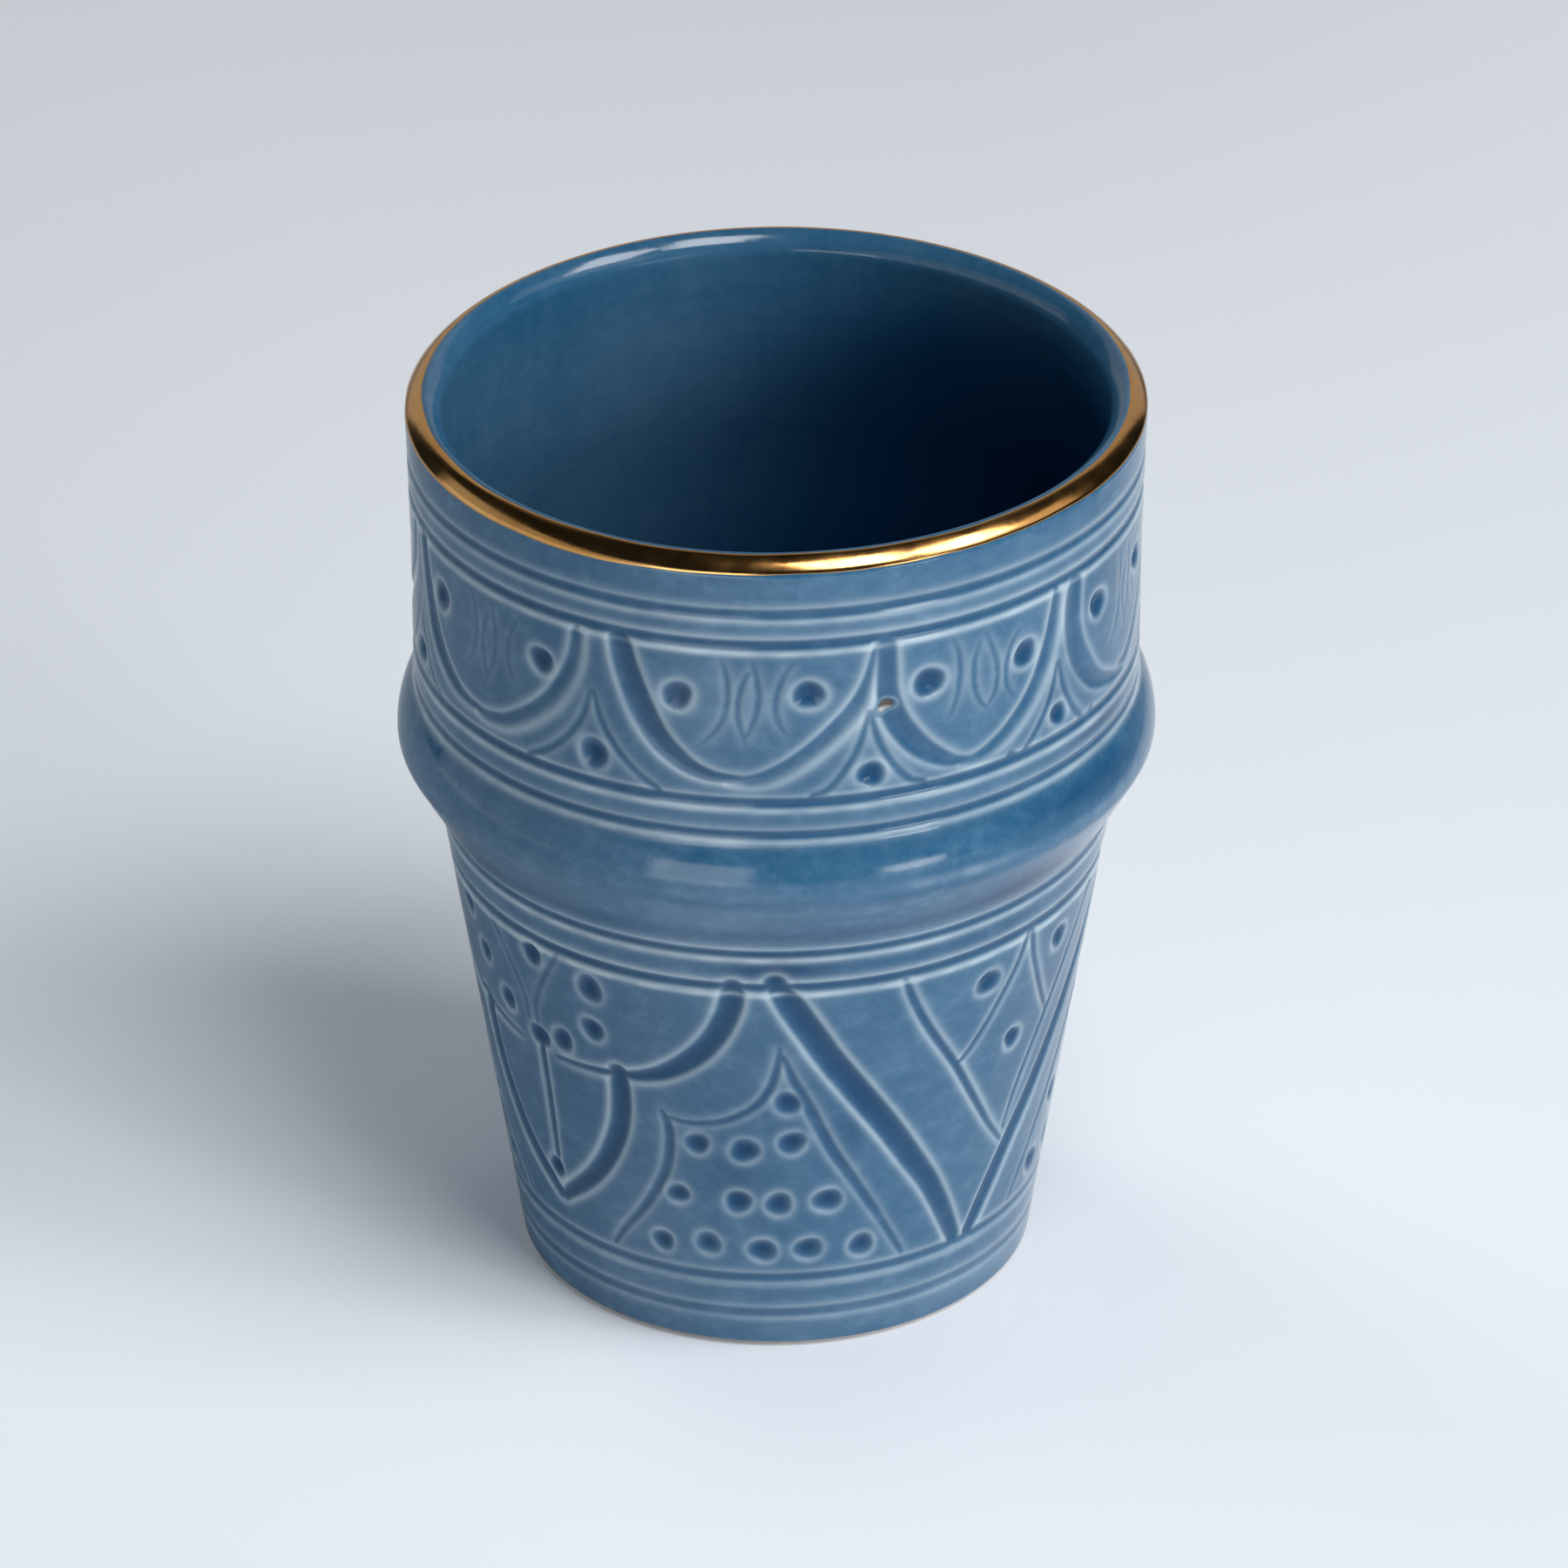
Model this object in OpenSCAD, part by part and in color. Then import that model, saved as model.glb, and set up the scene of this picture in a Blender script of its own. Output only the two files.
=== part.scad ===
// Carved ceramic cup with a gold lip
// Millimetres, +Z up, origin at the middle of the foot on the table

/* [Form] */
// height from the table to the top of the gold lip
cup_h = 105; // [95:1:115]
// outside radius of the upper wall, just over the belt
wall_r = 39.8; // [36:0.1:44]
// how much wider the wall is at the lip than over the belt
lip_flare = 0.4; // [0:0.1:1.5]
// length of the wall under the lip that flares
flare_len = 16; // [8:0.5:22]
// outside radius of the foot at the table
foot_r = 28.4; // [25:0.1:32]
// height of the widest line of the belt over the table
belt_h = 64.3; // [60:0.1:70]
// how far the belt stands out from the upper wall
belt_out = 1.9; // [1.2:0.1:3]
// radius of the bulge of the belt above its widest line
belt_round = 10.4; // [8:0.2:14]
// radius of the turn under the widest line
belt_edge = 2; // [1:0.1:3]
// slope of the underside of the belt, from upright
belt_under_deg = 30; // [24:1:40]
// how far the lower wall is set in from the upper wall at the belt
low_set_in = 1.3; // [0.5:0.1:3]

/* [Wall] */
// radius of the rounded lip under the gold
lip_round = 1.6; // [1.2:0.1:2]
// thickness of the upper wall just over the belt
wall_t = 3.6; // [3:0.1:4.5]
// thickness of the lower wall and of the wall behind the belt
low_wall_t = 4.4; // [3.4:0.1:6]
// level of the inside floor over the table
floor_h = 8.5; // [7:0.5:12]
// radius of the corner between the inside floor and the wall
floor_round = 7; // [4:0.5:10]
// width of the ring that the cup stands on
foot_ring_w = 5; // [3.5:0.5:8]
// depth of the hollow under the foot
foot_hollow = 2.6; // [1.5:0.1:3.5]
// radius of the rounded edge between the foot ring and the hollow
foot_edge = 0.8; // [0.4:0.1:1.2]

/* [Turned rings] */
// radius of the section of each turned line
line_r = 0.5; // [0.3:0.05:0.7]
// drop from the top of the cup to the first line
rim_line_drop = 6.5; // [5:0.1:9]
// distance between the two lines of a pair above the belt
pair_gap = 3.8; // [2.5:0.1:5]
// distance from the top of the belt to the line over it
line_clear = 1.4; // [1.2:0.1:3]
// distance from the corner under the belt down to the line below it
waist_line_drop = 0.6; // [0.2:0.1:1.5]
// distance between the two lines of the pair under the belt
waist_pair_gap = 4.6; // [3:0.1:6]
// distance between the two lines of the pair over the foot
foot_pair_gap = 5; // [3:0.1:6.5]
// height of the lowest line over the table
foot_line_h = 4.9; // [3:0.1:7]

/* [Coats] */
// thickness of the fired glaze
glaze_t = 0.4; // [0.25:0.05:0.6]
// height of the unglazed edge at the bottom of the foot
bare_foot = 0.7; // [0.4:0.1:2]
// thickness of the gold band
gold_t = 0.2; // [0.1:0.05:0.3]
// angle that the gold reaches over the lip towards the inside
gold_in_deg = 95; // [80:1:135]
// angle that the gold reaches down on the outside of the lip
gold_out_deg = 4; // [2:1:20]

/* [Hidden] */
$fn = 180;
// level of the centre of the rounded lip
lip_z = cup_h - lip_round - gold_t;
// level where the bulge of the belt runs into the upper wall
belt_top_z = belt_h + sqrt(belt_round * belt_round - pow(belt_round - belt_out, 2));
// outside radii on the glaze
rim_r = wall_r + lip_flare;
low_top_r = wall_r - low_set_in;
belt_r = wall_r + belt_out;
belt_c = belt_r - belt_round;
belt_edge_c = belt_r - belt_edge;
// lip centre and the inside of the lip
lip_c = rim_r - lip_round;
lip_in = lip_c - lip_round;
// the wall is straight up to this level and flares from it to the lip
flare_z = lip_z - flare_len;
// inside of the lower wall, and the slope it shares with the outside
low_slope = (low_top_r - foot_r) / belt_h;
low_in_r = low_top_r - low_wall_t;
// inside shoulder, over the belt, where the wall gets thinner
shoulder_z = belt_top_z + line_clear + pair_gap;
shoulder_in = wall_r - wall_t;
// length of the slanted wall for one step up
slant = sqrt(1 + low_slope * low_slope);
// levels of the turned lines
rim_lines = [cup_h - rim_line_drop, cup_h - rim_line_drop - pair_gap];
belt_lines = [belt_top_z + line_clear + pair_gap, belt_top_z + line_clear];
waist_line = waist(0)[1] - waist_line_drop;
low_lines = [waist_line, waist_line - waist_pair_gap, foot_line_h + foot_pair_gap, foot_line_h];
// a reach past every outline
far = 2 * (cup_h + wall_r);

// Radius of the outside at a level, without the belt
function side_r(z) =
    z < belt_h ? foot_r + low_slope * z :
    z < flare_z ? wall_r :
    wall_r + lip_flare * (z - flare_z) / (lip_z - flare_z);

// Point where the turn under the belt runs into its slanted underside, d inside the glaze
function under_top(d) = [
    belt_edge_c + (belt_edge - d) * cos(belt_under_deg),
    belt_h - (belt_edge - d) * sin(belt_under_deg)
];

// Length of the slanted underside down to the lower wall, d inside the glaze
function under_len(d) =
    (under_top(d)[0] - foot_r + d - low_slope * under_top(d)[1])
    / (sin(belt_under_deg) - low_slope * cos(belt_under_deg));

// Point where the underside of the belt meets the lower wall, d inside the glaze
function waist(d) = [
    under_top(d)[0] - under_len(d) * sin(belt_under_deg),
    under_top(d)[1] - under_len(d) * cos(belt_under_deg)
];

// Radius of the inside of the lower wall at a level
function low_inside(z) = low_in_r + low_slope * (z - belt_h);

// Half section of everything outside the drinking space, d inside the glaze
module outside_2d(d) {
    polygon([
        [0, 0],
        [foot_r - d, 0],
        [low_top_r - d, belt_h],
        [0, belt_h]
    ]);
    polygon([
        [0, belt_h],
        [wall_r - d, belt_h],
        [wall_r - d, flare_z],
        [rim_r - d, lip_z],
        [0, lip_z]
    ]);
    belt_2d(d);
}

// Half section of the belt: a long bulge above its widest line, a tight turn and a slope below
module belt_2d(d) {
    intersection() {
        translate([belt_c, belt_h])
            circle(belt_round - d);
        translate([0, belt_h])
            square([far, belt_round]);
    }
    intersection() {
        translate([belt_edge_c, belt_h])
            circle(belt_edge - d);
        translate([0, belt_h - belt_round])
            square([far, belt_round]);
    }
    polygon([
        [0, belt_h],
        [belt_edge_c, belt_h],
        under_top(d),
        waist(d),
        [0, waist(d)[1]]
    ]);
}

// Half section of the drinking space, grown by d
module inside_2d(d) {
    // centre of the rounded corner, set so that the corner meets floor and wall smoothly
    round_r = floor_round + d;
    round_z = floor_h + floor_round;
    round_c = low_inside(round_z) - floor_round * slant;
    polygon([
        [0, floor_h - d],
        [round_c, floor_h - d],
        [round_c, round_z],
        [round_c + round_r / slant, round_z - round_r * low_slope / slant],
        [low_in_r + d, belt_h],
        [shoulder_in + d, shoulder_z],
        [lip_in + d, lip_z],
        [lip_in + d, cup_h + 1],
        [0, cup_h + 1]
    ]);
    translate([round_c, round_z])
        circle(round_r);
}

// Sections of the turned lines, grown by d
module lines_2d(d) {
    for (z = concat(rim_lines, belt_lines, low_lines))
        translate([side_r(z), z])
            circle(line_r + d);
}

// Hollow under the foot, inside the ring that the cup stands on
module hollow_2d() {
    ring_in = foot_r - glaze_t - foot_ring_w;
    translate([0, -1])
        square([ring_in - foot_edge, foot_hollow + 1]);
    translate([0, -1])
        square([ring_in, foot_hollow - foot_edge + 1]);
    translate([ring_in - foot_edge, foot_hollow - foot_edge])
        circle(foot_edge);
}

// Half section of the cup, d inside the surface of the glaze
module cup_2d(d) {
    intersection() {
        union() {
            difference() {
                outside_2d(d);
                inside_2d(d);
                lines_2d(d);
                hollow_2d();
            }
            translate([lip_c, lip_z])
                circle(lip_round - d);
        }
        square([far, far]);
    }
}

// Half section of the gold on the lip
module gold_2d() {
    translate([lip_c, lip_z])
        intersection() {
            difference() {
                circle(lip_round + gold_t);
                circle(lip_round);
            }
            polygon([
                [0, 0],
                [far * cos(gold_out_deg), far * sin(gold_out_deg)],
                [far, far],
                [far * cos(gold_in_deg), far * sin(gold_in_deg)]
            ]);
        }
}

// Half section of the glaze between its surface and the clay, bare at the foot
module glaze_2d() {
    difference() {
        cup_2d(0);
        cup_2d(glaze_t);
        translate([0, -1])
            square([far, bare_foot + 1]);
    }
}

// Turns a half section in two lengths that meet at the widest line of the belt
module turned() {
    union() {
        rotate_extrude()
            intersection() {
                children();
                square([far, belt_h]);
            }
        rotate_extrude()
            intersection() {
                children();
                translate([0, belt_h])
                    square([far, cup_h]);
            }
    }
}

// Thrown clay with its foot ring, belt and lip
module clay_body() {
    color([0.78, 0.66, 0.53])
        turned()
            cup_2d(glaze_t);
}

// Blue glaze inside and outside, bare at the foot
module glaze_coat() {
    color([0.27, 0.42, 0.55])
        turned()
            glaze_2d();
}

// Gold band fired over the lip
module gold_lip() {
    color([0.83, 0.62, 0.28])
        rotate_extrude()
            gold_2d();
}

clay_body();
glaze_coat();
gold_lip();
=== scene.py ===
import math

import bmesh
import bpy
import numpy as np
from mathutils import Matrix, Vector


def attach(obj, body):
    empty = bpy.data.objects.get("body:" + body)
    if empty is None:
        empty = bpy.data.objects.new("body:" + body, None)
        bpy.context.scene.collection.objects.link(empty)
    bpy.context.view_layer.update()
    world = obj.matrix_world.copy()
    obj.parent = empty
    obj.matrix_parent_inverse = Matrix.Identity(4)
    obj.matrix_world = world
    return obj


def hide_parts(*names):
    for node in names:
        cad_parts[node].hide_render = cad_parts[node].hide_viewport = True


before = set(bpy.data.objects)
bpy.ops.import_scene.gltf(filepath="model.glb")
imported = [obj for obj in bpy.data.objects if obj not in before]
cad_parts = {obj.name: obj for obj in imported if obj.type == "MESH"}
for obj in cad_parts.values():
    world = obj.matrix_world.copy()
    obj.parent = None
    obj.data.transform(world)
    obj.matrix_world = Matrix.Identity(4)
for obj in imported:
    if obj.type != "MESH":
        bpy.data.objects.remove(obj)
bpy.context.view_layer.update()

# Sizes of the cup in millimetres, as in its solids
MM = 0.001
CUP_H = 105.0
WALL_R = 39.8
LIP_FLARE = 0.4
FOOT_R = 28.4
BELT_Z = 64.3
BELT_OUT = 1.9
BELT_ROUND = 10.4
BELT_EDGE = 2.0
BELT_UNDER = math.radians(30)
LOW_SET_IN = 1.3
LIP_ROUND = 1.6
GOLD_T = 0.14
LOW_WALL_T = 4.4
WALL_T = 3.6
FLOOR_H = 8.5
FLOOR_ROUND = 7.0
BARE_FOOT = 0.5
FOOT_RING_W = 5.0
FOOT_HOLLOW = 2.6
GLAZE_T = 0.4
# Room over the lip for the gold, and how far down the lip flares
GOLD_ROOM = 0.2
FLARE_H = 16.0
# The wall inside is straight down to the first level and has come inwards at the second
INSIDE_STRAIGHT_Z = 77.0
INSIDE_BEND_Z = 70.0
INSIDE_BEND = 0.9
# Spread of the glaze that softens the corners of the outside, and of the bends inside
GLAZE_SOFTENS = 0.55
BEND_SOFTENS = np.array([-3.0, -1.5, 0.0, 1.5, 3.0])
# Spacing of the points down the inside, in millimetres, and round the lip, in degrees
INSIDE_START = 1.1
INSIDE_STEP = 1.6
TURN_STEP = 0.5
INNER_TURN_STEP = 3

LIP_Z = CUP_H - LIP_ROUND - GOLD_ROOM
RIM_R = WALL_R + LIP_FLARE
LIP_C = RIM_R - LIP_ROUND
FLARE_Z = LIP_Z - FLARE_H
LIP_FOOT_Z = 102.76
LOW_SLOPE = (WALL_R - LOW_SET_IN - FOOT_R) / BELT_Z

# Levels of the turned lines, from the lip down to the foot
RIM_LINE_1 = 98.47
RIM_LINE_2 = 94.7
BELT_LINE_1 = 75.56
BELT_LINE_2 = 71.62
WAIST_LINE_1 = 55.26
WAIST_LINE_2 = 50.66
FOOT_LINE_1 = 9.92
FOOT_LINE_2 = 4.92


# Outline of the cup

def outside_r(z):
    """Radius of the outside at a level, with the corners of the belt a little softened by the glaze."""
    total = np.zeros_like(z)
    weights = 0.0
    for k in np.linspace(-1.5, 1.5, 9):
        w = math.exp(-k * k)
        total = total + w * hard_outside_r(z + k * GLAZE_SOFTENS)
        weights += w
    return total / weights


def hard_outside_r(z):
    """Radius of the outside at a level, with sharp corners."""
    low = FOOT_R + LOW_SLOPE * z
    wall = WALL_R + LIP_FLARE * np.clip((z - FLARE_Z) / (LIP_Z - FLARE_Z), 0, 1)
    rise = z - BELT_Z
    bulge = WALL_R + BELT_OUT - BELT_ROUND + np.sqrt(np.maximum(BELT_ROUND ** 2 - rise ** 2, 0))
    turn_end = BELT_EDGE * math.sin(BELT_UNDER)
    turn = WALL_R + BELT_OUT - BELT_EDGE + np.sqrt(np.maximum(BELT_EDGE ** 2 - rise ** 2, 0))
    slope_top = WALL_R + BELT_OUT - BELT_EDGE + BELT_EDGE * math.cos(BELT_UNDER)
    slope = slope_top + (rise + turn_end) * math.tan(BELT_UNDER)
    under = np.where(rise > -turn_end, turn, slope)
    return np.where(rise >= 0, np.maximum(wall, bulge), np.maximum(low, under))


def inside_outline(lip_r, lip_z):
    """Half section of the drinking space, from the end of the lip down to the middle of the floor."""
    low_in = WALL_R - LOW_SET_IN - LOW_WALL_T
    slant = math.sqrt(1 + LOW_SLOPE ** 2)
    corner_z = FLOOR_H + FLOOR_ROUND
    corner_r = low_in + LOW_SLOPE * (corner_z - BELT_Z) - FLOOR_ROUND * slant
    wall_end_z = corner_z - FLOOR_ROUND * LOW_SLOPE / slant
    wall_in = WALL_R - WALL_T
    wall_z = np.array([lip_z, INSIDE_STRAIGHT_Z, INSIDE_BEND_Z, BELT_Z, wall_end_z])
    wall_r = np.array([lip_r, wall_in, wall_in - INSIDE_BEND, low_in, corner_r + FLOOR_ROUND / slant])
    points = []
    for z in np.arange(lip_z - INSIDE_START, wall_end_z, -INSIDE_STEP):
        around = np.interp(z + BEND_SOFTENS, wall_z[::-1], wall_r[::-1])
        points.append((float(around.mean()), float(z)))
    for a in np.linspace(-math.atan(LOW_SLOPE), -math.pi / 2, 16):
        points.append((corner_r + FLOOR_ROUND * math.cos(a), corner_z + FLOOR_ROUND * math.sin(a)))
    for r in np.linspace(corner_r, 0, 14)[1:]:
        points.append((float(r), FLOOR_H))
    return points


# Roundness of the outside of the lip: degrees that its surface has turned upwards, and radius up to there
LIP_TURNS = ((36, 0.9), (66, 4.5), (90, 0.5))
# The same for the inside of the lip, from its top down to the wall
INNER_TURNS = ((34, 0.5), (52, 4.2), (90, 2.6))


def lip_curve():
    """Outside of the lip from the wall to its top: length along it, radius, level and turn in degrees."""
    points = [(0.0, RIM_R, LIP_FOOT_Z, 0.0)]
    for turn in np.arange(TURN_STEP / 2, 90, TURN_STEP):
        round_r = next(r for end, r in LIP_TURNS if turn < end)
        step = round_r * math.radians(TURN_STEP)
        length, r, z, _ = points[-1]
        a = math.radians(turn)
        points.append((length + step, r - step * math.sin(a), z + step * math.cos(a), turn + TURN_STEP / 2))
    return np.array(points)


def inner_lip(r, z):
    """Inside of the lip, from its top down to the wall of the drinking space."""
    points = []
    for turn in np.arange(INNER_TURN_STEP / 2, 90, INNER_TURN_STEP):
        round_r = next(r for end, r in INNER_TURNS if turn < end)
        step = round_r * math.radians(INNER_TURN_STEP)
        a = math.radians(turn)
        r, z = r - step * math.cos(a), z - step * math.sin(a)
        points.append((r, z))
    return points


# Beside a turned line, within the first distance, levels are this close together
NEAR_LINE = 1.1
LINE_STEP = 0.15
LEAST_STEP = 0.05


def levels(top, bottom, step, lines):
    """Levels from top to bottom, closer together beside the turned lines."""
    z = top
    found = [top]
    while True:
        gap = min(abs(z - line) for line in lines)
        z -= step if gap > NEAR_LINE else min(step, LINE_STEP)
        if z <= bottom + LEAST_STEP:
            break
        found.append(z)
    return np.array(found + [bottom])


# Carved relief
# Strokes are points along a cut: degrees round the cup from its front, level, half width

# Cells of the relief, in millimetres up the cup and in degrees round it
Z_STEP = 0.1
DEG_STEP = 0.25
# Radii that turn degrees into millimetres, on the two bands and for all of the cup
UPPER_R = WALL_R
LOWER_R = 33.0
MIDDLE_R = 37
relief = np.zeros((int(round(CUP_H / Z_STEP)) + 1, int(round(360 / DEG_STEP))))
# Raised edges beside slanted cuts, wide cuts with less glaze in them, and how pale the edges of cuts are
crests = np.zeros_like(relief)
broad = np.zeros_like(relief)
rims = np.ones_like(relief)
PATH_STEP = 0.7
PATH_MM_PER_DEG = 0.6
# A cut of more than this half width is wide, and holds less glaze by these shares
WIDE_CUT = 1.2
WIDE_LESS = 0.2
WIDE_SLANTED_LESS = 0.36
# Width of the pale edge beside a cut
RIM_WIDTH = 1.2
# A pit lies this far below its mark, and spreads by this much
PIT_BELOW = 0.15
PIT_SPREAD = 1.16


def along(points):
    """Smooth path through the points of a stroke."""
    p = np.array(points, float)
    p = np.vstack([2 * p[0] - p[1], p, 2 * p[-1] - p[-2]])
    path = []
    for a, b, c, d in zip(p, p[1:], p[2:], p[3:]):
        n = max(2, int(np.hypot((c - b)[0] * PATH_MM_PER_DEG, (c - b)[1]) / PATH_STEP))
        for t in np.arange(n) / n:
            square = (2 * a - 5 * b + 4 * c - d) * t * t
            cube = (3 * b - a - 3 * c + d) * t ** 3
            path.append(0.5 * (2 * b + (c - a) * t + square + cube))
    path.append(p[-2])
    return np.array(path)


def window(deg_low, deg_high, z_low, z_high):
    """Rows and columns of the relief round a cut, with the degrees and levels of its cells."""
    i0 = max(0, int(z_low / Z_STEP))
    i1 = min(relief.shape[0], int(z_high / Z_STEP) + 2)
    j = np.arange(math.floor(deg_low / DEG_STEP), math.ceil(deg_high / DEG_STEP) + 1)
    rows = np.arange(i0, i1)
    deg, z = np.meshgrid(j * DEG_STEP, rows * Z_STEP)
    return rows, j % relief.shape[1], deg, z


def cut(rows, columns, depth):
    here = np.ix_(rows, columns)
    relief[here] = np.maximum(relief[here], depth)


def stroke(points, depth, ref_r, lean=0, rim=1.0):
    """Cuts a groove. lean 1 or -1 makes it steep at its left or right edge and slanted at the other.

    rim is how pale its edges are.
    """
    path = along(points)
    per_deg = math.radians(ref_r)
    widest = path[:, 2].max()
    reach = widest * (1.5 if lean else 1) + (RIM_WIDTH + 0.1 if rim < 1 else 0.3)
    rows, columns, deg, z = window(
        path[:, 0].min() - reach / per_deg,
        path[:, 0].max() + reach / per_deg,
        path[:, 1].min() - reach,
        path[:, 1].max() + reach,
    )
    x = deg * per_deg
    nearest = np.full(x.shape, 9.0)
    side = np.zeros(x.shape)
    taper = np.zeros(x.shape)
    for a, b in zip(path, path[1:]):
        ax, bx = a[0] * per_deg, b[0] * per_deg
        dx, dz = bx - ax, b[1] - a[1]
        length = max(dx * dx + dz * dz, 1e-9)
        t = np.clip(((x - ax) * dx + (z - a[1]) * dz) / length, 0, 1)
        half = a[2] + t * (b[2] - a[2])
        away = np.hypot(x - ax - t * dx, z - a[1] - t * dz) / half
        closer = away < nearest
        nearest = np.where(closer, away, nearest)
        taper = np.where(closer, np.sqrt(half / widest), taper)
        side = np.where(closer, np.sign((z - a[1]) * dx - (x - ax) * dz), side)
    here = np.ix_(rows, columns)
    if widest > WIDE_CUT:
        less = WIDE_SLANTED_LESS if lean else WIDE_LESS
        broad[here] = np.maximum(broad[here], (nearest < 1) * less)
    if rim < 1:
        rims[here] = np.minimum(rims[here], np.where(nearest < 1 + RIM_WIDTH / widest, rim, 1.0))
    if lean:
        across = (1 - lean * side * nearest) / 2
        section = np.clip(across / 0.14, 0, 1) * np.clip(1 - across, 0, 1) ** 1.1 * (nearest < 1)
        crest = taper * near(across, 0.92, 0.32) * (nearest < 3)
        crests[here] = np.maximum(crests[here], crest)
    else:
        section = np.maximum(0, 1 - nearest ** 2.3)
    cut(rows, columns, depth * taper * section)


def pit(deg, z, r, depth, ref_r):
    """Presses a round hollow, each a little different and a little below its mark."""
    dice = np.random.default_rng(int(abs(deg * 37 + z * 91)))
    z = z - PIT_BELOW
    per_deg = math.radians(ref_r)
    half_deg, half_z = r / per_deg + 2, r + 0.8
    rows, columns, d, level = window(deg - half_deg, deg + half_deg, z - half_z, z + half_z)
    x, y = (d - deg) * per_deg, level - z
    turn = np.arctan2(y, x)
    uneven = 1 + 0.05 * np.cos(2 * turn + dice.uniform(0, 6))
    uneven = uneven + 0.03 * np.cos(3 * turn + dice.uniform(0, 6))
    away = np.hypot(x, y) / (PIT_SPREAD * r * uneven * dice.uniform(0.95, 1.05))
    cut(rows, columns, depth * np.maximum(0, 1 - away ** 2.2) ** 1.5)


def line_round(z, half, depth):
    """Turns a line all the way round."""
    level = np.arange(relief.shape[0]) * Z_STEP
    section = depth * np.maximum(0, 1 - (np.abs(level - z) / half) ** 2.2)
    np.maximum(relief, section[:, None], out=relief)


# Upper band: hanging scallops with two pits and four thin strokes each

SCALLOP_LEFT = [
    (-24.6, 94.0, 1.5), (-23.8, 91.2, 1.65), (-22.3, 88.0, 1.75), (-20.7, 85.3, 1.75), (-18.5, 82.7, 1.6),
    (-16.0, 80.9, 1.4), (-13.0, 79.4, 1.1), (-9.5, 78.6, 0.8), (-5.5, 78.4, 0.55),
]
SCALLOP_RIGHT = [
    (-7.0, 78.1, 0.7), (-4.5, 78.05, 0.9), (-2.0, 78.4, 1.05), (1.0, 79.4, 1.15), (4.0, 80.8, 1.2),
    (7.0, 82.5, 1.25), (10.1, 84.6, 1.3), (12.7, 86.7, 1.3), (14.7, 89.6, 1.15), (15.9, 93.2, 0.95),
]
BLADES = [
    [
        (-8.3, 92.8, 0.25), (-7.6, 91.0, 0.38), (-7.3, 89.0, 0.4), (-7.6, 87.0, 0.4), (-8.4, 85.2, 0.36),
        (-10.0, 83.5, 0.3), (-12.0, 82.2, 0.2),
    ],
    [
        (-4.2, 91.4, 0.25), (-5.3, 89.5, 0.38), (-5.9, 87.5, 0.4), (-5.8, 85.8, 0.38), (-5.2, 84.0, 0.32),
        (-4.7, 82.8, 0.2),
    ],
    [
        (-3.6, 92.6, 0.25), (-2.9, 90.5, 0.38), (-2.7, 88.5, 0.4), (-3.0, 86.5, 0.4), (-3.8, 84.8, 0.34),
        (-4.7, 83.4, 0.2),
    ],
    [
        (2.6, 92.6, 0.2), (1.2, 91.0, 0.34), (0.2, 89.0, 0.4), (-0.1, 87.0, 0.4), (0.4, 85.3, 0.34),
        (1.6, 83.9, 0.2),
    ],
]
PANEL_PITS = [(-15.3, 88.2, 1.8), (5.0, 88.8, 1.8)]
PANEL_TIP = -5.2
SCALLOP_LEFT_DEPTH = 0.82
SCALLOP_RIGHT_DEPTH = 0.62
BLADE_DEPTH = 0.24
FAINT_BLADE_DEPTH = 0.11
RIGHT_BLADE_DEPTH = 0.2
PANEL_PIT_DEPTH = 1.15
TENT_DEPTH = 0.28
TENT_PIT_DEPTH = 1.0
TENT_PIT_TURN = 0.3


def moved(points, shift, stretch):
    """Points of the front panel, turned round the cup and stretched about the panel's tip."""
    return [(PANEL_TIP + shift + (deg - PANEL_TIP) * stretch, z, w) for deg, z, w in points]


def panel(tip, stretch):
    """A whole scallop panel about its tip."""
    shift = tip - PANEL_TIP
    stroke(moved(SCALLOP_LEFT, shift, stretch), SCALLOP_LEFT_DEPTH, UPPER_R)
    stroke(moved(SCALLOP_RIGHT, shift, stretch), SCALLOP_RIGHT_DEPTH, UPPER_R, 1)
    for blade in BLADES:
        stroke(moved(blade, shift, stretch), BLADE_DEPTH, UPPER_R)
    for deg, z, r in moved(PANEL_PITS, shift, stretch):
        pit(deg, z, r, PANEL_PIT_DEPTH, UPPER_R)


def tent(deg, apex, foot_left, foot_right, pit_z, pit_r):
    """Two thin lines that lean together over a pit, between two scallops."""
    for foot in (foot_left, foot_right):
        w = foot - deg
        points = [
            (deg + 0.03 * w, apex, 0.25), (deg + 0.1 * w, apex - 2.4, 0.45),
            (deg + 0.26 * w, apex - 5.0, 0.5), (deg + 0.52 * w, apex - 7.5, 0.5),
            (deg + 0.8 * w, apex - 9.3, 0.5), (foot, 76.4, 0.45), (foot + 0.12 * w, 75.7, 0.3),
        ]
        stroke(points, TENT_DEPTH, UPPER_R)
    pit(deg + TENT_PIT_TURN, pit_z, pit_r, TENT_PIT_DEPTH, UPPER_R)


# Panel left of the front: points, depth and lean of each cut
LEFT_PANEL = [
    ([
        (-72.0, 94.0, 1.2), (-71.3, 91.0, 1.35), (-70.0, 87.5, 1.5), (-68.0, 84.3, 1.6), (-65.0, 81.6, 1.5),
        (-61.0, 79.6, 1.2), (-57.0, 78.7, 0.8), (-52.5, 78.6, 0.5),
    ], 0.75, 0),
    ([
        (-53.5, 78.3, 0.65), (-51.0, 78.2, 0.9), (-47.0, 78.8, 1.1), (-43.5, 80.1, 1.2),
        (-40.0, 81.9, 1.25), (-37.0, 83.9, 1.3), (-34.8, 86.2, 1.3), (-33.0, 88.6, 1.2), (-32.0, 91.0, 1.1),
        (-31.6, 93.2, 1.0),
    ], 0.62, 1),
]
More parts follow.
